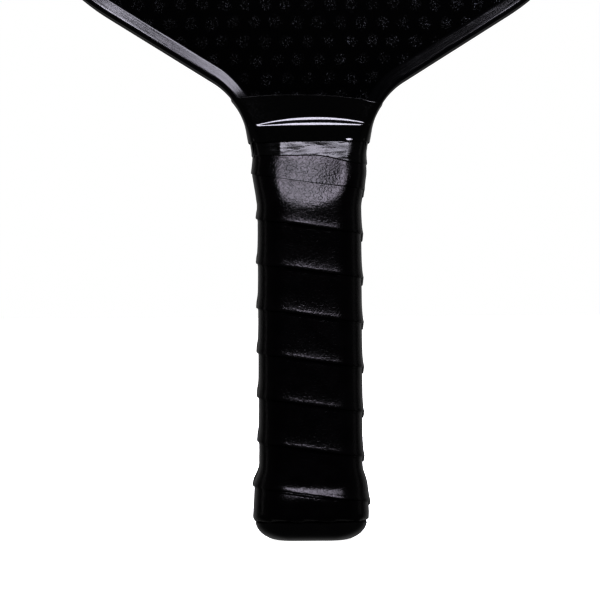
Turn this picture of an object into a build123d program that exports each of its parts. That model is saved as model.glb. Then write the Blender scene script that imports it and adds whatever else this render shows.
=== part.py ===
from build123d import *
import math
import os

# Pickleball paddle, standing on its butt with the head up.
# Z is the height above the butt, X runs across the face, and the front face looks along -Y.

# ---- Head and throat, measured on the bare panel (no edge guard) ----
overall_length = 400.0
head_width = 200.0  # over the edge guard
flank_angle = 32.0  # degrees above horizontal, from the throat out to the shoulder
flank_height = 158.2  # where the flank's outer line crosses flank_half_width
flank_half_width = 43.0  # over the edge guard
shoulder_radius = 70.0
top_corner_radius = 58.0
top_slope = 3.0  # degrees, where the top edge's shallow arc meets each corner
top_straight = 2.0  # between that arc and each corner's arc
throat_radius = 24.0
neck_start = 110.0  # below this the handle's sides are parallel
neck_lean = 10.0  # degrees from vertical, from neck_start up into the throat

# ---- Panel, from the middle outwards ----
core_thickness = 13.0
film_thickness = 0.15
sheet_thickness = 0.5
cell_pitch = 7.0  # across the flats of one honeycomb cell, wall centre to wall centre
cell_wall = 0.3
core_rim = 0.6  # solid border outside the outermost whole cells

# ---- Edge guard ----
guard_wall = 1.2
guard_lip = 5.0  # how far the lip reaches in over the face, from the guard's outer edge
guard_lip_thickness = 1.0
guard_tape_thickness = 0.3
guard_end = 141.0  # the guard's cut ends, under the throat sleeve
guard_bevel = 0.7  # along both outer edges

# ---- Handle ----
handle_half_width = 15.2  # under the grip tape
handle_half_depth = 13.2
handle_corner_radius = 5.8
pallet_glue = 0.15
pallet_top = 137.0
pallet_top_half_depth = 9.4
ramp_top = 132.0  # the handle deepens from here down to neck_start

# ---- Butt cap ----
cap_floor = 3.0
cap_skirt_top = 25.0
cap_rebate = 1.2  # how much the handle is cut down for the skirt
cap_clearance = 0.1
cap_flare = 2.0  # how far the cap stands proud of the handle at its widest
cap_waist_flare = 1.6
cap_waist = 18.0
cap_widest = 10.0
cap_edge_radius = 7.5

# ---- Cap staples, halfway between the cap's waist and its widest ----
staple_span = 8.0
staple_wire = 0.9
staple_leg = 5.5

# ---- Wrappings ----
grip_thickness = 1.8
grip_bottom = 6.4
grip_top = 127.0
finishing_thickness = 1.1
finishing_top = 134.0
sleeve_thickness = 1.1
sleeve_bottom = 131.6
sleeve_top = 146.4
sleeve_step_top = 141.0  # above this the sleeve lies flat over the face and the guard

# ---- Worked out from the above ----
panel_half_thickness = core_thickness / 2 + film_thickness + sheet_thickness
guard_overhang = guard_wall + guard_tape_thickness
guard_half_depth = panel_half_thickness + guard_lip_thickness
spigot_bottom = cap_floor + cap_clearance
spigot_cut = cap_rebate + cap_clearance
staple_height = (cap_widest + cap_waist) / 2
lean = math.tan(math.radians(neck_lean))
neck_secant = 1 / math.cos(math.radians(neck_lean))
flank_run = 1 / math.tan(math.radians(flank_angle))
flank_secant = 1 / math.sin(math.radians(flank_angle))


def neck_half_width(height):
    """Half the panel's width at a height on the neck."""
    return handle_half_width + max(0.0, height - neck_start) * lean


def pallet_half_depth(height):
    """Half the handle's depth at a height, under the tape."""
    drop = (handle_half_depth - pallet_top_half_depth) / (ramp_top - neck_start)
    along = min(max(height, neck_start), ramp_top) - neck_start
    return handle_half_depth - along * drop


def neck_edge(grow):
    """The half width where the neck starts, with its line moved outwards by grow."""
    return handle_half_width + grow * neck_secant


def flank_edge(grow):
    """The half width at flank_height, with the flank's line moved outwards from the panel."""
    return flank_half_width + (grow - guard_overhang) * flank_secant


def throat_corner(neck_grow, flank_grow):
    """Where the neck's line and the flank's line meet, each moved outwards from the panel."""
    neck_at_zero = neck_edge(neck_grow) - neck_start * lean
    flank_at_zero = flank_edge(flank_grow) - flank_height * flank_run
    height = (neck_at_zero - flank_at_zero) / (flank_run - lean)
    return neck_at_zero + height * lean, height


def upright_face(right_points, right_radii):
    """A face in the XZ plane from its right-hand points, from the bottom up, and their mirror."""
    mirrored = [(-x, z) for x, z in reversed(right_points) if x > 0]
    points = right_points + mirrored
    radii = right_radii + right_radii[: len(mirrored)][::-1]
    loop = FilletPolyline(*points, radius=radii[1:-1])
    flat = make_face(loop.edges() + [Line(points[-1], points[0]).edge()])
    return (Plane.XZ * flat).face()


def panel_outline(grow, foot):
    """The panel's outline above the neck, moved outwards by grow, standing on the points in foot."""
    slope = math.radians(top_slope)
    secant = 1 / math.cos(slope)
    bare_half_width = head_width / 2 - guard_overhang
    corner_run = top_corner_radius * math.tan(math.radians(90 - top_slope) / 2)
    crown_radius = (bare_half_width * secant - corner_run - top_straight) / math.tan(slope)
    half_width = bare_half_width + grow
    peak = overall_length - guard_overhang + crown_radius * (secant - 1) + grow * secant
    shoulder = flank_height + (half_width - flank_edge(grow)) / flank_run
    right_points = foot + [
        throat_corner(grow, grow),
        (half_width, shoulder),
        (half_width, peak - half_width * math.tan(slope)),
        (0, peak),
    ]
    corner_radii = [throat_radius - grow, shoulder_radius + grow, top_corner_radius + grow]
    radii = [0] * len(foot) + corner_radii + [crown_radius + grow]
    return upright_face(right_points, radii)


def head_outline(grow):
    """The head's outline down to the start of the neck, moved outwards by grow."""
    return panel_outline(grow, [(neck_edge(grow), neck_start)])


def slab(face, low, high):
    """A face in the XZ plane given thickness from y = low to y = high."""
    solid = extrude(face, amount=high - low, dir=(0, 1, 0))
    return Pos(0, low, 0) * solid


def height_band(low, high):
    """A large block between two heights, to keep what lies in it."""
    size = 2 * head_width
    return Pos(0, 0, (low + high) / 2) * Box(size, size, high - low)


def section(height, half_width, half_depth, radius):
    """A rounded rectangle across the handle."""
    return Plane.XY.offset(height) * RectangleRounded(2 * half_width, 2 * half_depth, radius)


def handle_section(height, grow):
    """The bare handle's section at a height, grown outwards all round."""
    half_width = neck_half_width(height) + grow
    half_depth = pallet_half_depth(height) + grow
    return section(height, half_width, half_depth, handle_corner_radius + grow)


def handle_form(levels, grow=0.0):
    """The handle's outer form through the given heights, grown outwards all round."""
    return loft([handle_section(height, grow) for height in levels], ruled=True)


def mirrored_pair(front):
    """The front piece and its mirror image behind."""
    return front, mirror(front, about=Plane.XZ)


def in_handle():
    """The space that the tongue and the pallets may fill inside the handle."""
    spigot = handle_form([spigot_bottom, cap_skirt_top], -spigot_cut)
    shaft = handle_form([cap_skirt_top, neck_start, ramp_top, pallet_top])
    return spigot + shaft


def cell_wires():
    """The whole hexagonal cells that fit inside the core's outline."""
    corner_radius = (cell_pitch - cell_wall) / 2 / math.cos(math.radians(30))
    row_height = cell_pitch * math.cos(math.radians(30))
    inside = tongue_outline(-core_rim)
    wires = []
    for row in range(int(overall_length / row_height)):
        height = spigot_bottom + (row + 0.5) * row_height
        shift = (row % 2) * cell_pitch / 2
        across = int(head_width / 2 / cell_pitch) + 1
        for column in range(-across, across + 1):
            middle = column * cell_pitch + shift
            corners = [
                Vector(
                    middle + corner_radius * math.sin(math.radians(60 * k)),
                    0,
                    height + corner_radius * math.cos(math.radians(60 * k)),
                )
                for k in range(6)
            ]
            if abs(middle) < head_width / 2 and all(inside.is_inside(c) for c in corners):
                wires.append(Wire.make_polygon(corners, close=True))
    return wires


def tongue_outline(grow=0.0):
    """The panel's outline down to the tongue's end, cut down to pass inside the cap's skirt."""
    spigot_half_width = handle_half_width - spigot_cut + grow
    foot = [
        (spigot_half_width, spigot_bottom - grow),
        (spigot_half_width, cap_skirt_top - grow),
        (handle_half_width + grow, cap_skirt_top - grow),
        (handle_half_width + grow, neck_start),
    ]
    return panel_outline(grow, foot)


def honeycomb_core(outline):
    cells = cell_wires()
    sheet = Face(outline.outer_wire(), cells)
    return slab(sheet, -core_thickness / 2, core_thickness / 2)


def edge_guard():
    flat_half_depth = guard_half_depth - guard_bevel
    rim = Pos(0, -flat_half_depth, 0) * head_outline(guard_overhang)
    crest = Pos(0, -guard_half_depth, 0) * head_outline(guard_overhang - guard_bevel)
    bevels = mirrored_pair(loft([rim, crest], ruled=True))
    guard = slab(head_outline(guard_overhang), -flat_half_depth, flat_half_depth)
    guard = guard + bevels[0] + bevels[1]
    channel = head_outline(guard_tape_thickness)
    opening = head_outline(guard_overhang - guard_lip)
    guard = guard - slab(channel, -panel_half_thickness, panel_half_thickness)
    guard = guard - slab(opening, -guard_half_depth, guard_half_depth)
    return guard & height_band(guard_end, overall_length + guard_end)


def edge_guard_tape():
    strip = slab(head_outline(guard_tape_thickness), -panel_half_thickness, panel_half_thickness)
    strip = strip - slab(head_outline(0), -panel_half_thickness, panel_half_thickness)
    return strip & height_band(guard_end, overall_length + guard_end)


def flare_form(bottom, grow=0.0):
    """The butt's flare from a height up to the skirt's top, grown outwards all round."""
    flare = [(cap_widest, cap_flare), (cap_waist, cap_waist_flare), (cap_skirt_top, 0.0)]
    if bottom < cap_widest:
        flare.insert(0, (bottom, cap_flare))
    return loft([handle_section(height, proud + grow) for height, proud in flare], ruled=True)


def cap_blank():
    """The butt cap's outside, solid."""
    lower = handle_form([0, cap_widest], cap_flare)
    base = lower.faces().sort_by(Axis.Z)[0]
    lower = fillet(base.edges(), cap_edge_radius)
    return flare_form(cap_widest) + lower


def butt_cap():
    pocket = handle_form([cap_floor, cap_skirt_top], -cap_rebate)
    return cap_blank() - pocket


def cap_staple():
    """The front staple, its crown let into the cap's skirt and its legs in the pallet."""
    surface = handle_half_depth + (cap_flare + cap_waist_flare) / 2 - cap_clearance
    crown = Pos(0, -surface + staple_wire, staple_height)
    crown = crown * Box(staple_span, 2 * staple_wire, staple_wire)
    staple = crown
    for side in (-1, 1):
        middle = side * (staple_span - staple_wire) / 2
        leg = Pos(middle, -surface + staple_leg / 2, staple_height)
        staple = staple + leg * Box(staple_wire, staple_leg, staple_wire)
    return staple


def grip_blank():
    """The grip tape's outside, solid."""
    shaft = handle_form([cap_skirt_top, neck_start, grip_top], grip_thickness)
    return shaft + flare_form(grip_bottom, grip_thickness)


def finishing_blank():
    """The finishing tape's outside, solid."""
    return handle_form([grip_top, ramp_top, finishing_top], finishing_thickness)


def throat_blank():
    """The throat sleeve's outside, solid."""
    over_guard = guard_overhang + sleeve_thickness
    flank_top = sleeve_top + throat_radius
    right_points = [
        (neck_edge(sleeve_thickness), neck_start),
        throat_corner(sleeve_thickness, over_guard),
        (flank_edge(over_guard) + (flank_top - flank_height) * flank_run, flank_top),
    ]
    outline = upright_face(right_points, [0, throat_radius - over_guard, 0])
    top_half_depth = guard_half_depth + sleeve_thickness
    low_half_depth = pallet_top_half_depth + sleeve_thickness
    profile = [
        (-low_half_depth, sleeve_bottom),
        (-low_half_depth, pallet_top),
        (-top_half_depth, sleeve_step_top),
        (-top_half_depth, sleeve_top),
    ]
    profile += [(-y, z) for y, z in reversed(profile)]
    side = make_face(Polyline(*[(0, y, z) for y, z in profile], close=True))
    side_solid = Pos(-head_width / 2, 0, 0) * extrude(side, amount=head_width, dir=(1, 0, 0))
    return slab(outline, -handle_half_depth, handle_half_depth) & side_solid


def build():
    outline = tongue_outline()
    panel = slab(outline, -panel_half_thickness, panel_half_thickness)
    handle = in_handle()
    parts = {"honeycomb_core": honeycomb_core(outline)}

    core_face = core_thickness / 2
    film_face = core_face + film_thickness
    films = mirrored_pair(slab(outline, -film_face, -core_face))
    sheets = mirrored_pair(slab(outline, -panel_half_thickness, -film_face))

    in_front = Pos(0, -head_width - panel_half_thickness, pallet_top / 2)
    in_front = in_front * Box(2 * head_width, 2 * head_width, 2 * pallet_top)
    behind_glue = Pos(0, -pallet_glue, 0) * in_front
    front_staple = cap_staple()
    pallets = mirrored_pair((handle & behind_glue) - front_staple)
    glues = mirrored_pair((handle & in_front) - behind_glue)
    staples = mirrored_pair(front_staple)

    for end, film, sheet, pallet, glue in zip(("front", "back"), films, sheets, pallets, glues):
        parts[f"{end}_adhesive_film"] = film
        parts[f"{end}_face_sheet"] = sheet
        parts[f"{end}_handle_pallet"] = pallet
        parts[f"{end}_pallet_glue"] = glue

    guard = edge_guard()
    parts["edge_guard"] = guard
    parts["edge_guard_tape"] = edge_guard_tape()
    parts["butt_cap"] = butt_cap() - staples[0] - staples[1]
    parts["butt_cap_staples"] = Compound(children=[staple.solid() for staple in staples])

    under_tape = handle + panel
    parts["grip_tape"] = grip_blank() - under_tape - cap_blank()
    sleeve = throat_blank()
    parts["finishing_tape"] = finishing_blank() - under_tape - sleeve
    parts["throat_sleeve"] = sleeve - under_tape - guard - parts["edge_guard_tape"]
    return parts


if __name__ == "__main__":
    os.makedirs("parts", exist_ok=True)
    for name, shape in build().items():
        shape.label = name
        export_step(shape, f"parts/{name}.step")
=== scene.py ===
import math

import bmesh
import bpy
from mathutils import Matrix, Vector, noise


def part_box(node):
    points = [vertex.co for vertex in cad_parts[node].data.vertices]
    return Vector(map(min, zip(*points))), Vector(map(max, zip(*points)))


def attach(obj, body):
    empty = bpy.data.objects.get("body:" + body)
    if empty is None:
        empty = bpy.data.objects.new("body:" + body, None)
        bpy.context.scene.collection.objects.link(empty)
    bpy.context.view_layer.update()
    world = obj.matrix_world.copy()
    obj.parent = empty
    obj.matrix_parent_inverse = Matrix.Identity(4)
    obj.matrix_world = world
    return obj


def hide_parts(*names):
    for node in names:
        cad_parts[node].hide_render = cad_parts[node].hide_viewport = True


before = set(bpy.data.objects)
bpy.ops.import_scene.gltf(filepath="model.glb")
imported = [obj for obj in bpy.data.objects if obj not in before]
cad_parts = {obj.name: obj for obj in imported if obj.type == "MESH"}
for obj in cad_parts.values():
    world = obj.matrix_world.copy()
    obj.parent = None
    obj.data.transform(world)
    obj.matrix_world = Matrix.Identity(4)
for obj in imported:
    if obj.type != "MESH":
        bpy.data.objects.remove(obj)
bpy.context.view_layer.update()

# A pickleball paddle standing on its butt. Z runs up the handle, and the front face looks along -Y.
# All places are in metres. MM turns a size in millimetres into metres.
MM = 0.001
merge_gap = 1e-6  # points closer than this become one

# ---- Places taken from the CAD model ----
panel_half_thickness = -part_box("front_face_sheet")[0].y
head_half_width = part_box("edge_guard")[1].x
head_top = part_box("edge_guard")[1].z
guard_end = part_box("edge_guard")[0].z
guard_half_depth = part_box("edge_guard")[1].y
grip_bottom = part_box("grip_tape")[0].z
sleeve_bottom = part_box("throat_sleeve")[0].z
sleeve_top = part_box("throat_sleeve")[1].z
cap_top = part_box("butt_cap")[1].z

# ---- The panel's outline, as in the CAD model ----
guard_overhang = 1.5 * MM
flank_angle = math.radians(32)
flank_height = 158.2 * MM
flank_half_width = 43.0 * MM
shoulder_radius = 70 * MM
top_corner_radius = 58 * MM
top_slope = math.radians(3)
top_straight = 2 * MM
throat_radius = 24 * MM
neck_start = 110 * MM
neck_lean = math.radians(10)

# ---- The handle under its wrappings, as in the CAD model ----
handle_half_width = 15.2 * MM
handle_half_depth = 13.2 * MM
handle_radius = 5.8 * MM
ramp_top = 132 * MM
ramp_half_depth = 9.4 * MM
foot_shift = 0.3 * MM  # how much higher the ramp starts once it is wrapped
foot_softness = 2 * MM
foot_curve = 4.5 * MM  # how much higher it starts at foot_curve_reach from the middle line
foot_curve_reach = 10 * MM
foot_highest = 7 * MM
foot_fade_start = 111 * MM
foot_fade_run = 23 * MM
flat_flare = 1.0 * MM  # how far the butt stands proud on the front and back
flat_flare_top = 12.5 * MM
flat_flare_fade = 6 * MM
cap_floor = 3 * MM
cap_rebate = 1.2 * MM
cap_widest = 10 * MM
cap_waist = 18 * MM
cap_flare = 2.0 * MM
cap_waist_flare = 1.6 * MM

# ---- Honeycomb cells, as in the CAD model ----
cell_pitch = 7 * MM
cell_row = cell_pitch * math.cos(math.radians(30))
first_cell_row = 3.1 * MM + cell_row / 2

# ---- Grip tape ----
tape_thickness = 1.8 * MM
tape_pitch = 14.6 * MM  # climb of one turn
tape_overlap = 5.0 * MM  # how much of each turn the next one covers
tape_start = 0.8 * MM  # height of the tape's lower edge at the front of its first turn
tape_trim = 128 * MM  # the tape's top, under the finishing band
edge_step = 0.78 * MM  # how far each turn's lower edge stands off the turn below
edge_swell = 2.8 * MM  # how quickly that swelling fades above the edge
flat_crown = 1.1 * MM  # how much the tape rounds out the handle's flats
skived_edge = 0.6 * MM  # the tape's thickness at its edges
tape_pull = 0.05 * MM  # how much thinner the stretched tape is
tape_girth = 112 * MM  # the length of one turn

# ---- Where the tape is pressed flat, towards the throat ----
patch_bottom = 112 * MM
press_share = 0.87  # how much of the tape's thickness is pressed away in the end
flat_press_start = 111.2 * MM
flat_press_softness = 1.3 * MM
flat_press_run = 17 * MM
side_press_start = 119.5 * MM
side_press_run = 9 * MM
fold_start = 9.5 * MM  # how far left of the middle line the patch folds back
fold_slope = 0.13
fold_reach = 4 * MM

# ---- Finishing band ----
band_thickness = 0.35 * MM
band_left = 126.2 * MM  # height of its lower edge at the front and left
band_right = 123.2 * MM  # and at the right and back
band_top = 133.5 * MM

# ---- Throat sleeve and edge guard ----
collar_bottom = sleeve_bottom - 0.9 * MM
ledge_bottom = 136.0 * MM
ledge_height = 3.1 * MM
ledge_drop = 0.9 * MM
collar_taper = 0.08 * MM
sleeve_thickness = 1.1 * MM
guard_lip = 5.0 * MM
lip_edge = 0.25 * MM  # the lip's thickness at its inner edge
guard_corner = 1.3 * MM
guard_channel = 0.3 * MM


# ======== Small tools ========
def only(piece):
    """Selects one object and makes it active."""
    bpy.ops.object.select_all(action="DESELECT")
    piece.select_set(True)
    bpy.context.view_layer.objects.active = piece


def pick(piece, kind, test):
    """Selects the faces or edges, in edit mode, whose middle and direction pass a test."""
    bpy.ops.mesh.select_mode(type=kind)
    mesh = bmesh.from_edit_mesh(piece.data)
    mesh.normal_update()
    bpy.ops.mesh.select_all(action="DESELECT")
    if kind == "FACE":
        for face in mesh.faces:
            face.select_set(test(face.calc_center_median(), face.normal))
    else:
        for edge in mesh.edges:
            start, end = (vertex.co for vertex in edge.verts)
            edge.select_set(test((start + end) / 2, (end - start).normalized()))
    bmesh.update_edit_mesh(piece.data)


def mapped_grid(name, columns, rows, place, uv_size):
    """A grid whose point at fractions (s, t) goes to place(s, t). Its UV map has the given size."""
    bpy.ops.object.select_all(action="DESELECT")
    bpy.ops.mesh.primitive_grid_add(x_subdivisions=columns, y_subdivisions=rows, size=1)
    piece = bpy.context.object
    piece.name = name
    piece.data.name = name
    for loop in piece.data.uv_layers.active.data:
        loop.uv = (loop.uv[0] * uv_size[0], loop.uv[1] * uv_size[1])
    for vertex in piece.data.vertices:
        vertex.co = place(vertex.co.x + 0.5, vertex.co.y + 0.5)
    return piece


def close_up(piece):
    """Merges a mesh's seams, fills any open end and turns its faces outwards."""
    only(piece)
    bpy.ops.object.mode_set(mode="EDIT")
    bpy.ops.mesh.select_mode(type="VERT")
    bpy.ops.mesh.select_all(action="SELECT")
    bpy.ops.mesh.remove_doubles(threshold=merge_gap)
    bpy.ops.mesh.select_all(action="DESELECT")
    bpy.ops.mesh.select_non_manifold(extend=False)
    bpy.ops.mesh.edge_face_add()
    bpy.ops.mesh.select_all(action="SELECT")
    bpy.ops.mesh.normals_make_consistent(inside=False)
    bpy.ops.object.mode_set(mode="OBJECT")


def finish_piece(piece, material, node, smooth_angle):
    """Gives a piece its shading and material, hangs it on the root body and hides the CAD node it stands for.
    """
    only(piece)
    bpy.ops.object.shade_smooth_by_angle(angle=math.radians(smooth_angle))
    piece.data.materials.clear()
    piece.data.materials.append(material)
    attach(piece, "root")
    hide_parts(node)
    return piece


def smooth(x):
    """0 below 0 and 1 above 1, with a soft step between."""
    x = min(max(x, 0.0), 1.0)
    return x * x * (3 - 2 * x)


def soft_start(x, softness):
    """0 well below 0 and x well above it, with a soft bend between."""
    return softness * math.log1p(math.exp(min(x / softness, 50.0)))


def edge_round(distance, radius):
    """Rises from 0 at an edge to 1 a radius away from it, as a quarter round does."""
    x = min(max(distance / radius, 0.0), 1.0)
    return math.sqrt(1 - (1 - x) ** 2)


def ripple(point, size, seed=0.0):
    """Soft noise from -1 to 1 with lumps of the given size."""
    return noise.noise(Vector(point) / size + Vector((seed, seed, seed)))


# ======== The handle's form ========
def neck_half_width(z):
    return handle_half_width + max(0.0, z - neck_start) * math.tan(neck_lean)


def eased_half_depth(z):
    """The ramp with its foot rounded, as it shows through the wrappings."""
    fall = (handle_half_depth - ramp_half_depth) / (ramp_top - neck_start)
    run = soft_start(z - neck_start - foot_shift, foot_softness)
    return handle_half_depth - min(run, ramp_top - neck_start) * fall


def flare(z):
    """How far the butt cap stands proud of the handle at a height."""
    if z < cap_widest:
        return cap_flare
    if z < cap_waist:
        return cap_flare + (cap_waist_flare - cap_flare) * (z - cap_widest) / (cap_waist - cap_widest)
    return cap_waist_flare * (1 - smooth((z - cap_waist) / (cap_top - cap_waist)))


def flare_depth(z):
    """How far the butt stands proud on the front and back."""
    return flat_flare * (1 - smooth((z - flat_flare_top) / flat_flare_fade))


def rounded_rectangle(turn, half_width, half_depth, radius):
    """The point and outward direction, a fraction of a turn from the front's middle towards -X."""
    wide, deep, arc = half_width - radius, half_depth - radius, radius * math.pi / 2
    lengths = [wide, arc, 2 * deep, arc, 2 * wide, arc, 2 * deep, arc, wide]
    along = (turn % 1.0) * sum(lengths)
    index = 0
    while along > lengths[index] and index < 8:
        along -= lengths[index]
        index += 1
    side = (index + 1) // 2
    if index % 2:
        angle = (side - 1) * math.pi / 2 + along / radius
        quarter = (side - 0.5) * math.pi / 2
        sign_x = -1 if math.sin(quarter) > 0 else 1
        sign_y = -1 if math.cos(quarter) > 0 else 1
        outward = Vector((-math.sin(angle), -math.cos(angle)))
        return Vector((sign_x * wide, sign_y * deep)) + outward * radius, outward
    outward = Vector((-math.sin(side * math.pi / 2), -math.cos(side * math.pi / 2)))
    forward = Vector((outward.y, -outward.x))
    reach, start = (half_depth, wide) if side % 2 == 0 else (half_width, deep)
    if side == 0:
        start = 0.0
    return outward * reach + forward * (along - start), outward


def ramp_foot_rise(x, z):
    """The ramp's foot curves upwards away from the handle's middle line."""
    rise = min(foot_curve * (x / foot_curve_reach) ** 2, foot_highest)
    return rise * (1 - smooth((z - foot_fade_start) / foot_fade_run))


def on_handle(turn, z, lift):
    """A point at a height and a fraction of a turn, lifted off the handle and the butt's flare."""
    proud = flare(z)
    half_width, half_depth = neck_half_width(z) + proud, eased_half_depth(z) + flare_depth(z)
    point, outward = rounded_rectangle(turn, half_width, half_depth, handle_radius + proud)
    if z > neck_start - 5 * MM:
        fuller = eased_half_depth(z - ramp_foot_rise(point.x, z)) - eased_half_depth(z)
        point = point + Vector((0, outward.y)) * fuller
    crown = flat_crown * abs(outward.y) * max(1 - (point.x / half_width) ** 2, 0.0)
    crown *= smooth((z + 2 * MM) / (34 * MM)) * (1 - 0.4 * smooth((z - 108 * MM) / (22 * MM)))
    fold = fold_slope * min(max(-fold_start - point.x, 0.0), fold_reach)
    fold *= smooth((z - patch_bottom) / (10 * MM))
    point = point + outward * (lift + crown * min(1.0, lift / tape_thickness) - fold * abs(outward.y))
    return Vector((point.x, point.y, z))


# ======== The panel's outline ========
def flank_edge(grow):
    return flank_half_width + (grow - guard_overhang) / math.sin(flank_angle)


def throat_corner(neck_grow, flank_grow):
    """Where the neck's line and the flank's line meet, each moved outwards from the panel."""
    run = 1 / math.tan(flank_angle)
    lean = math.tan(neck_lean)
    neck_at_zero = handle_half_width + neck_grow / math.cos(neck_lean) - neck_start * lean
    flank_at_zero = flank_edge(flank_grow) - flank_height * run
    height = (neck_at_zero - flank_at_zero) / (run - lean)
    return neck_at_zero + height * lean, height


def throat_half_width(z, neck_grow, flank_grow):
    """Half the width at a height, round the throat's arc."""
    corner = Vector(throat_corner(neck_grow, flank_grow))
    radius = throat_radius - flank_grow
    neck = Vector((math.sin(neck_lean), math.cos(neck_lean)))
    flank = Vector((math.cos(flank_angle), math.sin(flank_angle)))
    reach = radius * math.tan(neck.angle(flank) / 2)
    low, high = corner - neck * reach, corner + flank * reach
    if z < low.y:
        return low.x - (low.y - z) * math.tan(neck_lean)
    if z > high.y:
        return high.x + (z - high.y) / math.tan(flank_angle)
    centre = low + Vector((neck.y, -neck.x)) * radius
    return centre.x - math.sqrt(radius ** 2 - (z - centre.y) ** 2)


def panel_corners():
    """The corners of the panel's outline and their radii, from the right of the neck over the top."""
    secant = 1 / math.cos(top_slope)
    half_width = head_half_width - guard_overhang
    corner_run = top_corner_radius * math.tan((math.pi / 2 - top_slope) / 2)
    crown_radius = (half_width * secant - corner_run - top_straight) / math.tan(top_slope)
    peak = head_top - guard_overhang + crown_radius * (secant - 1)
    shoulder = flank_height + (half_width - flank_edge(0)) * math.tan(flank_angle)
    right = [
        (handle_half_width, neck_start),
        throat_corner(0, 0),
        (half_width, shoulder),
        (half_width, peak - half_width * math.tan(top_slope)),
    ]
    radii = [0, throat_radius, shoulder_radius, top_corner_radius]
    points = right + [(0, peak)] + [(-x, z) for x, z in reversed(right)]
    return [Vector(point) for point in points], radii + [crown_radius] + radii[::-1]


def guard_path(spacing):
    """Places and outward directions along the panel's edge between the guard's cut ends."""
    points, radii = panel_corners()
    path = []
    start = points[0]
    for before, corner, after, radius in zip(points, points[1:], points[2:], radii[1:]):
        arriving = (corner - before).normalized()
        leaving = (after - corner).normalized()
        turn = arriving.angle_signed(leaving)
        reach = radius * abs(math.tan(turn / 2))
        arc_start = corner - arriving * reach
        steps = max(1, round((arc_start - start).length / spacing))
        outward = Vector((arriving.y, -arriving.x))
        path += [(start.lerp(arc_start, k / steps), outward) for k in range(steps)]
        towards = math.copysign(1, -turn)
        centre = arc_start - outward * radius * towards
        steps = max(6, round(radius * abs(turn) / spacing))
        for k in range(steps):
            angle = -turn * k / steps
            swung = Vector((
                outward.x * math.cos(angle) - outward.y * math.sin(angle),
                outward.x * math.sin(angle) + outward.y * math.cos(angle),
            ))
            path.append((centre + swung * radius * towards, swung))
        start = corner + leaving * reach
    return [(place, outward) for place, outward in path if place.y >= guard_end]


# ======== Grip tape ========
def tape_swell(v, z):
    """How far the tape's outside stands off the handle, v above its lower edge."""
    proud = edge_step * (1.12 - 0.12 * z / neck_start) * (0.6 + 0.4 * smooth(z / (16 * MM)))
    pinch = 0.09 * MM * math.exp(-abs(tape_pitch - v) / (0.45 * MM))
    return tape_thickness - tape_pull + proud * math.exp(-v / edge_swell) - pinch


def tape_over(v, z):
    """The thickness of the tape where it lies over the turn below it."""
    full = tape_swell(v, z)
    return skived_edge + (full - skived_edge) * smooth(v / tape_overlap)


def squeeze(z, turn):
    """The share of the tape's thickness that is left. It falls earlier on the flats' middle."""
    on_flat = min(soft_start(z - flat_press_start, flat_press_softness) / flat_press_run, 1.0)
    on_side = smooth((z - side_press_start) / side_press_run)
    return 1 - press_share * (on_side + (on_flat - on_side) * flat_middle(turn))


def flat_middle(turn):
    """1 on the middle of the front and back flats, and 0 round the sides."""
    across = min(turn % 0.5, 0.5 - turn % 0.5)
    return 1 - smooth((across - 0.11) / 0.06)


def tape_lifts(v, v_low, turn, z):
    """The tape's inner and outer lift off the handle, v above its own lower edge."""
    pressed = smooth((z - patch_bottom) / (3 * MM)) * (0.5 + 0.5 * flat_middle(turn))
    above = v - tape_pitch if v > tape_pitch else v
    outer = tape_swell(above, z)
    outer -= pressed * (outer - tape_thickness + tape_pull)
    if v > tape_pitch:
        outer = max(outer - tape_over(above, z) - 0.02 * MM, 0.1 * MM)
    inner = max(outer - tape_over(v, z), 0.03 * MM) if v < tape_overlap else 0.03 * MM
    rounding = (0.35 - 0.3 * pressed) * MM if v_low == 0 else 1.5 * MM
    rounded = edge_round(v - v_low, rounding)
    if v_low == 0:
        rounded = max(rounded, 0.97 * pressed)
    outer = inner + (outer - inner) * rounded
    return inner * squeeze(z, turn), outer * squeeze(z, turn)


def grip_tape(material):
    """The cushioned tape, wound upwards in overlapping turns from the butt to the throat."""
    first, last = -0.95, (tape_trim - tape_start) / tape_pitch - 0.12
    width = tape_pitch + tape_overlap
    around, outside_rows = 640, 22
    length = (last - first) * tape_girth
    outside = 0.5  # the share of the rows that make the tape's outside
    seam_row = 17 / outside_rows  # where the next turn's edge comes to lie
    drop = 0.1 * MM  # the short step down behind that edge

    def place(s, t):
        turn = first + (last - first) * s
        edge = tape_start + tape_pitch * turn
        wander = 0.25 * MM * ripple((turn * 2.1, 0, 0), 1.0, 4.0)
        v_low = max(0.0, grip_bottom - edge)
        v_high = min(width, tape_trim - edge)
        if t <= outside:
            share = t / outside
            if share <= seam_row:
                v = tape_pitch * (0.5 - 0.5 * math.cos(math.pi * share / seam_row))
            else:
                hidden = share - seam_row - 1 / outside_rows
                v = tape_pitch + drop + tape_overlap * hidden / (1 - seam_row)
            v = min(max(v, v_low + drop * share), v_high - drop * (1 - share))
        else:
            share = (1 - t) / (1 - outside)
            v = v_low + (v_high - v_low) * share
        z = edge + v
        inner, outer = tape_lifts(v, v_low, turn, z)
        if v_low == 0:
            fade = 1 - smooth((v - tape_pitch * 0.7) / (tape_pitch * 0.3))
            fade *= 1 - smooth((edge - 104 * MM) / (4 * MM))
            z += wander * fade
        if t > outside:
            return on_handle(turn, z, inner)
        point = on_handle(turn, z, outer)
        crumple = 0.05 * MM * ripple(point, 9 * MM) + 0.02 * MM * ripple(point, 3 * MM, 7.0)
        crumple *= smooth((v - v_low) / (1 * MM)) * (1 - smooth((v - 0.8 * tape_pitch) / (0.2 * tape_pitch)))
        return on_handle(turn, z, outer + crumple)

    piece = mapped_grid("wound_grip_tape", around, 2 * outside_rows, place, (length, width))
    close_up(piece)
    return finish_piece(piece, material, "grip_tape", 40)


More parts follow.
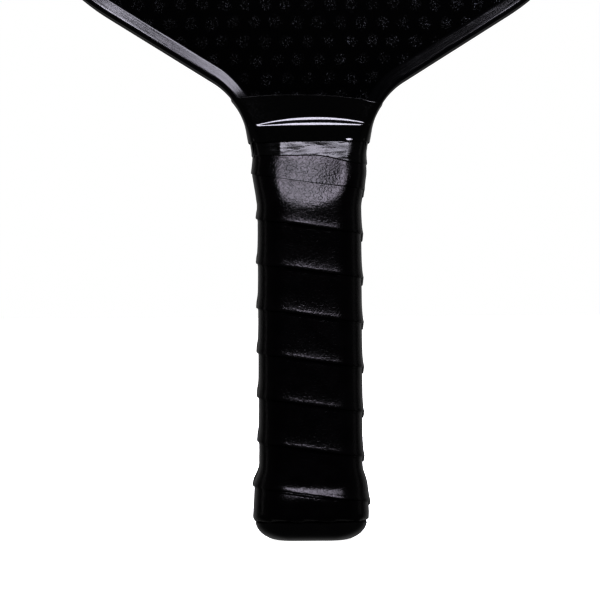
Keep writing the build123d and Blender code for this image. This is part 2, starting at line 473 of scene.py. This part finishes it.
# ======== Finishing band ========
def band_edge(turn):
    """The height of the band's lower edge round the handle: it is wound a little askew."""
    turn = turn % 1.0
    if turn < 0.5:
        return band_left - (band_left - band_right) * smooth((turn - 0.3) / 0.2)
    return band_right + (band_left - band_right) * smooth((turn - 0.82) / 0.17)


def finishing_band(material):
    """The glossy vinyl band that holds the top of the grip tape down."""
    around, across, outside = 240, 40, 0.6

    def place(s, t):
        turn = 1 - s
        low = band_edge(turn)
        if t <= outside:
            share = t / outside
        else:
            share = (1 - t) / (1 - outside)
        z = low + (band_top - low) * share
        under = tape_thickness * squeeze(z, turn) - 0.02 * MM
        if t > outside:
            return on_handle(turn, z, under)
        outer = under + band_thickness * edge_round(z - low, 0.3 * MM)
        point = on_handle(turn, z, outer)
        crinkle = 0.05 * MM * ripple((point.x / 4, point.y / 4, point.z), 1.1 * MM, 3.0)
        return on_handle(turn, z, outer + crinkle * smooth((z - low) / (0.5 * MM)))

    piece = mapped_grid("finishing_band", around, across, place, (116 * MM, band_top - band_right))
    close_up(piece)
    return finish_piece(piece, material, "finishing_tape", 40)


# ======== Throat sleeve ========
def sleeve_depth(z, x):
    """The sleeve's half depth: deep over the handle, with a shallow ledge on the way to the guard."""
    shallow = guard_half_depth + 1.4 * MM
    deep = ramp_half_depth + sleeve_thickness
    bow = 1 - 0.86 * min(1.0, ((x - 2 * MM) / (20 * MM)) ** 2)
    low = collar_taper * min(max((z - collar_bottom) / (ledge_bottom - collar_bottom), 0.0), 1.0)
    ledge = ledge_drop * bow * smooth((z - ledge_bottom) / (ledge_height * bow))
    upper = deep - shallow - ledge_drop * bow - collar_taper
    high = upper * min(max((z - ledge_bottom) / (sleeve_top - ledge_bottom), 0.0), 1.0)
    lip = 0.26 * MM * max(0.0, 1 - ((x - 15 * MM) / (2.2 * MM)) ** 2)
    return deep - low - ledge - high + lip * (1 - smooth((z - collar_bottom) / (1.3 * MM)))


def sleeve_rim(x):
    """The height of the sleeve's upper edge, bowed, and lower on the right."""
    across = x / (23 * MM)
    return sleeve_top - (2.0 * abs(across) ** 2.2 + 0.8 * across + 0.25) * MM


def throat_sleeve(material):
    """The glossy collar over the guard's cut ends and the handle's top step."""
    around, outside, rim, across = 300, 0.66, 0.06, 110
    edge_radius = 0.15 * MM
    bottom_thick = 0.2 * MM

    def wall(turn, z, inset, reach_x=0.0):
        """A point of the sleeve's outside at a height, moved inwards by inset."""
        half_width = throat_half_width(z, sleeve_thickness, guard_overhang + sleeve_thickness)
        depth = sleeve_depth(z, reach_x)
        radius = (6.4 - 3.6 * smooth((z - collar_bottom) / (9 * MM))) * MM
        point, outward = rounded_rectangle(turn, half_width, depth, radius)
        return point - outward * inset, outward

    def place(s, t):
        turn = 1 - s
        middle = wall(turn, 142 * MM, 0.0)[0]
        top = sleeve_rim(middle.x)
        over_face = 1 - smooth((abs(middle.x) - 15 * MM) / (2 * MM))
        thick = 1.0 * MM + 1.05 * MM * over_face
        rim_round = (0.04 + 0.3 * max(0.0, 1 - ((middle.x - 19.5 * MM) / (2.5 * MM)) ** 2)) * MM
        if t <= outside:
            z = collar_bottom + (top - rim_round - collar_bottom) * (1 - (1 - t / outside) ** 1.4)
            inset = edge_radius * (1 - edge_round(z - collar_bottom, edge_radius))
        elif t <= outside + rim:
            angle = (t - outside) / rim * math.pi / 2
            z = top - rim_round * (1 - math.sin(angle))
            inset = rim_round * (1 - math.cos(angle))
        else:
            share = (1 - t) / (1 - outside - rim)
            z = collar_bottom + (top - collar_bottom) * share
            inset = bottom_thick + (thick - bottom_thick) * smooth((z - 134 * MM) / (4 * MM))
        point, outward = wall(turn, z, inset, middle.x)
        if t <= outside:
            wave = 0.02 * MM * ripple((point.x, point.y, z * 1.6), 5 * MM, 2.0)
            fade = smooth((z - collar_bottom) / (1 * MM)) * smooth((top - rim_round - z) / (1 * MM))
            point = point + outward * wave * fade
        return Vector((point.x, point.y, z))

    piece = mapped_grid("throat_collar", around, across, place, (140 * MM, 30 * MM))
    close_up(piece)
    return finish_piece(piece, material, "throat_sleeve", 40)


# ======== Edge guard ========
def guard_profile():
    """The guard's section as (distance out from the panel's edge, place across the rim)."""
    out, deep, face = guard_overhang, guard_half_depth, panel_half_thickness
    lip_end = guard_overhang - guard_lip
    half = []
    steps = 8
    for k in range(steps + 1):
        angle = math.pi / 2 * k / steps
        half.append((
            out - guard_corner * (1 - math.cos(angle)),
            deep - guard_corner * (1 - math.sin(angle)),
        ))
    fall = deep - face - lip_edge
    start = half[-1][0]
    for k in range(1, 7):
        share = k / 6
        half.append((start + (lip_end + 0.25 * MM - start) * share, deep - fall * share))
    half += [(lip_end, face + 0.12 * MM), (lip_end + 0.02 * MM, face)]
    inside = [(0.0, face), (guard_channel, face), (guard_channel, face - 0.4 * MM)]
    front = [(n, -y) for n, y in half]
    web = [(out, y) for y in (-0.5 * (deep - guard_corner), 0.0, 0.5 * (deep - guard_corner))]
    front_inside = [(n, -y) for n, y in inside]
    return front[::-1] + web + half + inside + front_inside[::-1]


def edge_guard(material):
    """The U-shaped moulding pressed round the head's rim."""
    path = guard_path(1.6 * MM)
    profile = guard_profile()
    profile.append(profile[0])
    columns, rows = len(path) - 1, len(profile) - 1

    def place(s, t):
        spot, outward = path[round(s * columns)]
        out, across = profile[round(t * rows)]
        place_on = spot + outward * out
        return Vector((place_on.x, across, place_on.y))

    piece = mapped_grid("rim_guard", columns, rows, place, (columns * 1.6 * MM, 40 * MM))
    close_up(piece)
    return finish_piece(piece, material, "edge_guard", 28)


# ======== Butt cap ========
def scale_section(scale_x, scale_y):
    bpy.ops.transform.resize(value=(scale_x, scale_y, 1), center_override=(0, 0, 0))


def step_rings(levels):
    """Extrudes the selected end through (height, half width, half depth) rings."""
    for (z_from, wide_from, deep_from), (z_to, wide_to, deep_to) in zip(levels, levels[1:]):
        bpy.ops.mesh.extrude_region_move(TRANSFORM_OT_translate={"value": (0, 0, z_to - z_from)})
        scale_section(wide_to / wide_from, deep_to / deep_from)


def cap_outline(z):
    """The cap's half width and half depth: flared under the tape, domed below it."""
    dome = grip_bottom + 0.3 * MM
    proud = flare(z)
    wide, deep = handle_half_width + proud, handle_half_depth + flare_depth(z)
    wide += 1.1 * MM * smooth((grip_bottom - z) / (0.4 * MM))
    if z < dome:
        flat = 9 * MM
        round_share = math.sqrt(1 - (1 - z / dome) ** 2)
        wide = flat + (wide - flat) * round_share
        deep = flat - 2 * MM + (deep - flat + 2 * MM) * round_share
    return z, wide, deep


def butt_cap(material):
    """The moulded cap: a domed end, a flared skirt and the pocket that the handle sits in."""
    middle = grip_bottom + 0.3 * MM
    top = cap_widest
    _, wide, deep = cap_outline(middle)
    bpy.ops.object.select_all(action="DESELECT")
    bpy.ops.mesh.primitive_cube_add(size=1, location=(0, 0, (middle + top) / 2))
    piece = bpy.context.object
    piece.name = piece.data.name = "moulded_butt_cap"
    piece.scale = (2 * wide, 2 * deep, top - middle)
    bpy.ops.object.transform_apply(location=True, rotation=True, scale=True)
    bpy.ops.object.mode_set(mode="EDIT")
    pick(piece, "EDGE", lambda place, way: abs(way.z) > 0.9)
    corner = handle_radius + cap_flare
    bpy.ops.mesh.bevel(offset=corner, segments=12, affect="EDGES", offset_type="OFFSET")
    pick(piece, "FACE", lambda place, way: way.z > 0.9)
    climb = [top + (cap_top - top) * k / 8 for k in range(9)]
    step_rings([cap_outline(z) for z in climb])
    rim_wide, rim_deep = cap_outline(cap_top)[1:]
    bpy.ops.mesh.extrude_region()
    scale_section((handle_half_width - cap_rebate) / rim_wide, (handle_half_depth - cap_rebate) / rim_deep)
    bpy.ops.mesh.extrude_region_move(TRANSFORM_OT_translate={"value": (0, 0, cap_floor - cap_top)})
    pick(piece, "FACE", lambda place, way: way.z < -0.9 and place.z < top and place.z > cap_floor + MM)
    drop = [middle * (1 - math.sin(math.pi / 2 * k / 14)) for k in range(14)] + [0.0]
    step_rings([cap_outline(z) for z in drop])
    bpy.ops.object.mode_set(mode="OBJECT")
    close_up(piece)
    return finish_piece(piece, material, "butt_cap", 40)


# ======== Materials ========
class Signal:
    """One value in a material's nodes. Sums of signals add their Math nodes."""

    def __init__(self, tree, socket=None):
        self.tree = tree
        self.socket = socket

    def make(self, kind, settings=None, values=None, output=0):
        """Adds a node, sets it up, fills or links its sockets and returns one output."""
        node = self.tree.nodes.new(kind)
        for name, setting in (settings or {}).items():
            setattr(node, name, setting)
        for name, value in (values or {}).items():
            if isinstance(value, Signal):
                self.tree.links.new(node.inputs[name], value.socket)
            else:
                node.inputs[name].default_value = value
        return Signal(self.tree, node.outputs[output])

    def math(self, operation, *values):
        return self.make("ShaderNodeMath", {"operation": operation}, dict(enumerate(values)))

    def __add__(self, other):
        return self.math("ADD", self, other)

    def __sub__(self, other):
        return self.math("SUBTRACT", self, other)

    def __rsub__(self, other):
        return self.math("SUBTRACT", other, self)

    def __mul__(self, other):
        return self.math("MULTIPLY", self, other)

    def __truediv__(self, other):
        return self.math("DIVIDE", self, other)

    def fraction(self):
        return self.math("FRACT", self)

    def power(self, exponent):
        return self.math("POWER", self, exponent)

    def least(self, other):
        return self.math("MINIMUM", self, other)

    def step(self, low, high, to_low=0.0, to_high=1.0):
        """Goes softly from to_low to to_high as this goes from low to high."""
        values = {"Value": self, "From Min": low, "From Max": high, "To Min": to_low, "To Max": to_high}
        return self.make("ShaderNodeMapRange", {"interpolation_type": "SMOOTHSTEP"}, values)

    def axis(self, index):
        return self.make("ShaderNodeSeparateXYZ", None, {"Vector": self}, index)

    def stretched(self, x, y, z):
        """These coordinates, each multiplied by its own number."""
        return self.make("ShaderNodeVectorMath", {"operation": "MULTIPLY"}, {0: self, 1: (x, y, z)})

    def shifted(self, other):
        return self.make("ShaderNodeVectorMath", {"operation": "ADD"}, {0: self, 1: other})

    def lumps(self, size, detail):
        """Noise from 0 to 1 with lumps of a size in metres."""
        values = {"Vector": self, "Scale": 1 / size, "Detail": detail}
        return self.make("ShaderNodeTexNoise", None, values)

    def cells(self, size, feature="F1"):
        """How near the closest of scattered points is, in units of their spacing, a size in metres."""
        values = {"Vector": self, "Scale": 1 / size}
        return self.make("ShaderNodeTexVoronoi", {"feature": feature}, values, "Distance")

    def tint(self, low, high):
        """A colour between two, as this goes from 0 to 1."""
        values = {0: self, 6: (*low, 1.0), 7: (*high, 1.0)}
        return self.make("ShaderNodeMix", {"data_type": "RGBA"}, values, 2)


class Finish:
    """A material with one Principled shader. Its even values go on the shader's own sockets."""

    def __init__(self, name, **even):
        self.material = bpy.data.materials.new(name)
        self.material.use_nodes = True
        self.tree = self.material.node_tree
        self.shader = self.tree.nodes["Principled BSDF"]
        for socket, value in even.items():
            self.shader.inputs[socket.replace("_", " ")].default_value = value
        self.place = Signal(self.tree).make("ShaderNodeTexCoord", None, None, "Object")
        self.flat = Signal(self.tree).make("ShaderNodeTexCoord", None, None, "UV")

    def vary(self, socket, signal):
        self.tree.links.new(self.shader.inputs[socket], signal.socket)

    def bump(self, height, distance):
        """Raises the surface by a height from 0 to 1 times a distance in metres."""
        values = {"Height": height, "Distance": distance}
        self.vary("Normal", height.make("ShaderNodeBump", None, values))


def grip_leather():
    finish = Finish("grained_grip_leather", Specular_IOR_Level=0.3, Specular_Tint=(1.0, 0.97, 0.99, 1.0))
    grain = finish.place.cells(0.55 * MM, "SMOOTH_F1")
    fine = finish.place.lumps(0.22 * MM, 2)
    broad = finish.place.lumps(6 * MM, 2)
    worn = broad.step(0.42, 0.66)
    shade = fine * 0.6 + worn * 0.4
    finish.vary("Base Color", shade.tint((0.0040, 0.0036, 0.0042), (0.0090, 0.0080, 0.0092)))
    finish.vary("Roughness", grain.step(0.1, 0.6, 0.13, 0.20) + worn * 0.03)
    wrinkle = finish.place.lumps(1.3 * MM, 1) - 0.5
    crease = (wrinkle * wrinkle).power(0.5).step(0.0, 0.12)
    finish.bump(grain * 0.25 + fine * 0.25 + crease * 0.5 + broad * 0.8, 0.03 * MM)
    return finish.material


def face_skin():
    """The gritty skin, a little dimpled over each honeycomb cell, with its grit's glints painted into the
    colour as bright specks.
    """
    finish = Finish("gritty_face_skin", Specular_IOR_Level=0.25)
    drift = finish.place.lumps(11 * MM, 1)
    drift_up = finish.place.shifted((0.3, 0.1, 0.7)).lumps(11 * MM, 1)
    cell_drift = 2.2 * MM
    across = finish.place.axis(0) + (drift - 0.5) * cell_drift
    up = finish.place.axis(2) + (drift_up - 0.5) * cell_drift - first_cell_row

    def distance_to_cell(shift_x, shift_z):
        """The distance from the nearest cell's middle, in one of the two rows that repeat."""
        x = ((across - shift_x) / cell_pitch + 0.5).fraction() - 0.5
        z = ((up - shift_z) / (2 * cell_row) + 0.5).fraction() - 0.5
        x = x * cell_pitch
        z = z * (2 * cell_row)
        return (x * x + z * z).power(0.5)

    nearest = distance_to_cell(0, 0).least(distance_to_cell(cell_pitch / 2, cell_row))
    ragged = finish.place.lumps(1.1 * MM, 2)
    cell = (nearest + (ragged - 0.5) * (2.4 * MM)).step(2.5 * MM, 1.1 * MM, 0.0, 1.0)
    grit = finish.place.cells(0.42 * MM)
    speck = grit.step(0.42, 0.12)
    strong = finish.place.lumps(0.8 * MM, 1).step(0.42, 0.62)
    uneven = finish.place.lumps(9 * MM, 1).step(0.38, 0.6, 0.2, 1.0)
    # Painted highlight: the specks are real grit, but their glints are painted into the base colour as bright
    # bluish grey.
    grit_and_painted_glint = speck * strong * cell * uneven
    # Painted light: the painted glints are made brighter upwards and towards +X, the upper right.
    level = (finish.place.axis(2) + finish.place.axis(0) * 0.6).step(0.13, 0.22, 0.3, 1.0)
    finish.vary("Base Color", (grit_and_painted_glint * level).tint((0.0015, 0.0015, 0.0018), (0.55, 0.58, 0.65)))
    finish.vary("Roughness", grit_and_painted_glint.step(0.0, 1.0, 0.17, 0.5))
    finish.bump(speck * cell * 0.7 + finish.place.lumps(0.25 * MM, 2) * 0.3 + cell * 0.15, 0.04 * MM)
    return finish.material


def guard_moulding():
    finish = Finish("glossy_guard_moulding", Specular_IOR_Level=0.55)
    streak = finish.flat.stretched(1.0, 18.0, 1.0).lumps(9 * MM, 3)
    scuff = finish.place.lumps(1.6 * MM, 3)
    finish.vary("Base Color", streak.tint((0.005, 0.005, 0.006), (0.010, 0.010, 0.012)))
    finish.vary("Roughness", streak.step(0.3, 0.7, 0.07, 0.15) + scuff.step(0.55, 0.8, 0.0, 0.05))
    finish.bump(streak * 0.8 + scuff * 0.2, 0.006 * MM)
    return finish.material


def sleeve_rubber():
    finish = Finish("glossy_collar_rubber", Specular_IOR_Level=0.55)
    wave = finish.place.lumps(4 * MM, 2)
    dust = finish.place.lumps(0.6 * MM, 3)
    finish.vary("Base Color", dust.tint((0.006, 0.006, 0.006), (0.012, 0.012, 0.012)))
    finish.vary("Roughness", dust.step(0.4, 0.75, 0.07, 0.15))
    finish.bump(wave * 0.9 + dust * 0.1, 0.015 * MM)
    return finish.material


def band_vinyl():
    finish = Finish("crinkled_band_vinyl", Specular_IOR_Level=0.35)
    crinkle = finish.place.stretched(0.22, 0.22, 1.0).lumps(0.9 * MM, 3)
    dust = finish.place.lumps(0.8 * MM, 3)
    finish.vary("Base Color", dust.tint((0.006, 0.006, 0.006), (0.013, 0.013, 0.013)))
    finish.vary("Roughness", crinkle.step(0.3, 0.7, 0.10, 0.26))
    finish.bump(crinkle, 0.12 * MM)
    return finish.material


def cap_plastic():
    finish = Finish("satin_cap_plastic", Specular_IOR_Level=0.5)
    mould = finish.place.lumps(0.25 * MM, 3)
    broad = finish.place.lumps(5 * MM, 2)
    finish.vary("Base Color", broad.tint((0.008, 0.008, 0.008), (0.015, 0.015, 0.015)))
    finish.vary("Roughness", mould.step(0.3, 0.7, 0.28, 0.40))
    finish.bump(mould, 0.012 * MM)
    return finish.material


def cell_plastic():
    finish = Finish("honeycomb_plastic")
    haze = finish.place.lumps(3 * MM, 3)
    finish.vary("Base Color", haze.tint((0.62, 0.62, 0.58), (0.78, 0.78, 0.74)))
    finish.vary("Roughness", haze.step(0.3, 0.7, 0.4, 0.55))
    finish.bump(haze, 0.05 * MM)
    return finish.material


def cured_adhesive():
    finish = Finish("cured_adhesive")
    haze = finish.place.lumps(2 * MM, 3)
    finish.vary("Base Color", haze.tint((0.52, 0.45, 0.30), (0.68, 0.60, 0.42)))
    finish.vary("Roughness", haze.step(0.3, 0.7, 0.3, 0.5))
    finish.bump(haze, 0.03 * MM)
    return finish.material


def foam_strip():
    finish = Finish("adhesive_foam_strip")
    pore = finish.place.cells(0.4 * MM)
    finish.vary("Base Color", pore.tint((0.02, 0.02, 0.02), (0.06, 0.06, 0.06)))
    finish.vary("Roughness", pore.step(0.0, 0.7, 0.75, 0.95))
    finish.bump(pore, 0.08 * MM)
    return finish.material


def shell_foam():
    finish = Finish("rigid_shell_foam")
    pore = finish.place.cells(0.7 * MM)
    finish.vary("Base Color", pore.tint((0.10, 0.10, 0.10), (0.16, 0.16, 0.155)))
    finish.vary("Roughness", pore.step(0.0, 0.7, 0.6, 0.85))
    finish.bump(pore, 0.1 * MM)
    return finish.material


def staple_wire():
    finish = Finish("bright_staple_wire", Metallic=1.0)
    drawn = finish.place.stretched(1.0, 0.1, 6.0).lumps(1 * MM, 3)
    finish.vary("Base Color", drawn.tint((0.52, 0.52, 0.50), (0.66, 0.66, 0.65)))
    finish.vary("Roughness", drawn.step(0.3, 0.7, 0.22, 0.36))
    finish.bump(drawn, 0.01 * MM)
    return finish.material


def dress_cad_nodes():
    """Gives every CAD node that stays its finish."""
    skin, adhesive, shell = face_skin(), cured_adhesive(), shell_foam()
    finishes = {
        "honeycomb_core": cell_plastic(),
        "edge_guard_tape": foam_strip(),
        "butt_cap_staples": staple_wire(),
    }
    for side in ("front", "back"):
        finishes[f"{side}_face_sheet"] = skin
        finishes[f"{side}_adhesive_film"] = adhesive
        finishes[f"{side}_pallet_glue"] = adhesive
        finishes[f"{side}_handle_pallet"] = shell
    for node, material in finishes.items():
        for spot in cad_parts[node].material_slots:
            spot.material = material


# ======== Studio ========
view_distance = 1.2
view_height = 0.198  # how much height the camera takes in, at the paddle
view_centre = Vector((-3.25 * MM, 0, 79 * MM))
view_lean = math.radians(0.35)


def camera():
    data = bpy.data.cameras.new("camera")
    data.sensor_width = 36
    data.lens = 36 * view_distance / view_height
    data.clip_start = 0.01
    data.clip_end = 20
    seen_from = bpy.data.objects.new("camera", data)
    bpy.context.collection.objects.link(seen_from)
    seen_from.location = view_centre - Vector((0, view_distance, 0))
    seen_from.rotation_euler = (math.pi / 2, view_lean, 0)
    bpy.context.scene.camera = seen_from


def softbox(name, azimuth, elevation, distance, width, height, power, aim, tint=(1, 1, 1), shape="RECTANGLE"):
    """A soft lamp. Azimuth 0 is in front of the paddle and 90 is on its +X side."""
    data = bpy.data.lights.new(name, "AREA")
    data.shape = shape
    data.size = width
    data.size_y = height
    data.energy = power
    data.color = tint
    lamp = bpy.data.objects.new(name, data)
    bpy.context.collection.objects.link(lamp)
    turn, rise = math.radians(azimuth), math.radians(elevation)
    way = Vector((math.sin(turn) * math.cos(rise), -math.cos(turn) * math.cos(rise), math.sin(rise)))
    lamp.location = Vector(aim) + way * distance
    lamp.rotation_euler = way.to_track_quat("Z", "Y").to_euler()


def lights():
    throat = (0, 0, 0.13)
    cool = (0.92, 0.90, 1.0)
    for side, turn in (("front", 0), ("back", 180)):
        softbox(f"{side}_key", turn + 1, 31, 1.6, 0.36, 0.82, 15.5, throat, cool, "ELLIPSE")
        softbox(f"{side}_rim_lamp", turn + 15, 27, 1.6, 0.26, 0.5, 5, throat, cool)
    softbox("right_strip", 88, 6, 0.9, 0.22, 0.7, 0.25, throat)
    softbox("left_strip", -88, 6, 0.9, 0.14, 0.7, 0.35, throat)
    softbox("overhead", 0, 89, 1.4, 0.8, 0.8, 3, (0, 0, 0.2))


def backdrop():
    """White to the camera. It lights the paddle dimly, and brightly only from a ring behind it."""
    world = bpy.data.worlds.new("studio")
    bpy.context.scene.world = world
    world.use_nodes = True
    tree = world.node_tree
    start = Signal(tree)
    seen = start.make("ShaderNodeLightPath", None, None, "Is Camera Ray")
    behind = start.make("ShaderNodeTexCoord", None, None, "Generated").axis(1)
    ring_glow = 0.7
    ring_outside = behind.step(0.25, 0.6, 0.0, ring_glow)
    ring_inside = behind.step(0.88, 0.97, 0.0, ring_glow)
    glow = behind.step(-0.8, -0.3, 0.015, 0.1) + ring_outside - ring_inside
    level = glow + seen * (1 - glow)
    tree.nodes["Background"].inputs["Color"].default_value = (1, 1, 1, 1)
    tree.links.new(tree.nodes["Background"].inputs["Strength"], level.socket)


def floor():
    bpy.ops.object.select_all(action="DESELECT")
    bpy.ops.mesh.primitive_plane_add(size=30)
    ground = bpy.context.object
    ground.name = "studio_floor"
    finish = Finish("pale_floor", Roughness=0.9, Specular_IOR_Level=0.0, Emission_Strength=1.0)
    mottle = finish.place.lumps(0.4, 2)
    finish.vary("Base Color", mottle.tint((0.88, 0.88, 0.88), (0.92, 0.92, 0.92)))
    finish.vary("Emission Color", mottle.tint((0.99, 0.99, 0.99), (1.0, 1.0, 1.0)))
    ground.data.materials.append(finish.material)
    ground.visible_glossy = False
    ground.visible_diffuse = False


# ======== Making the paddle ========
bpy.context.scene.view_settings.view_transform = "Standard"
bpy.context.scene.view_settings.gamma = 0.6
camera()
lights()
backdrop()
floor()
dress_cad_nodes()
grip_tape(grip_leather())
finishing_band(band_vinyl())
throat_sleeve(sleeve_rubber())
edge_guard(guard_moulding())
butt_cap(cap_plastic())
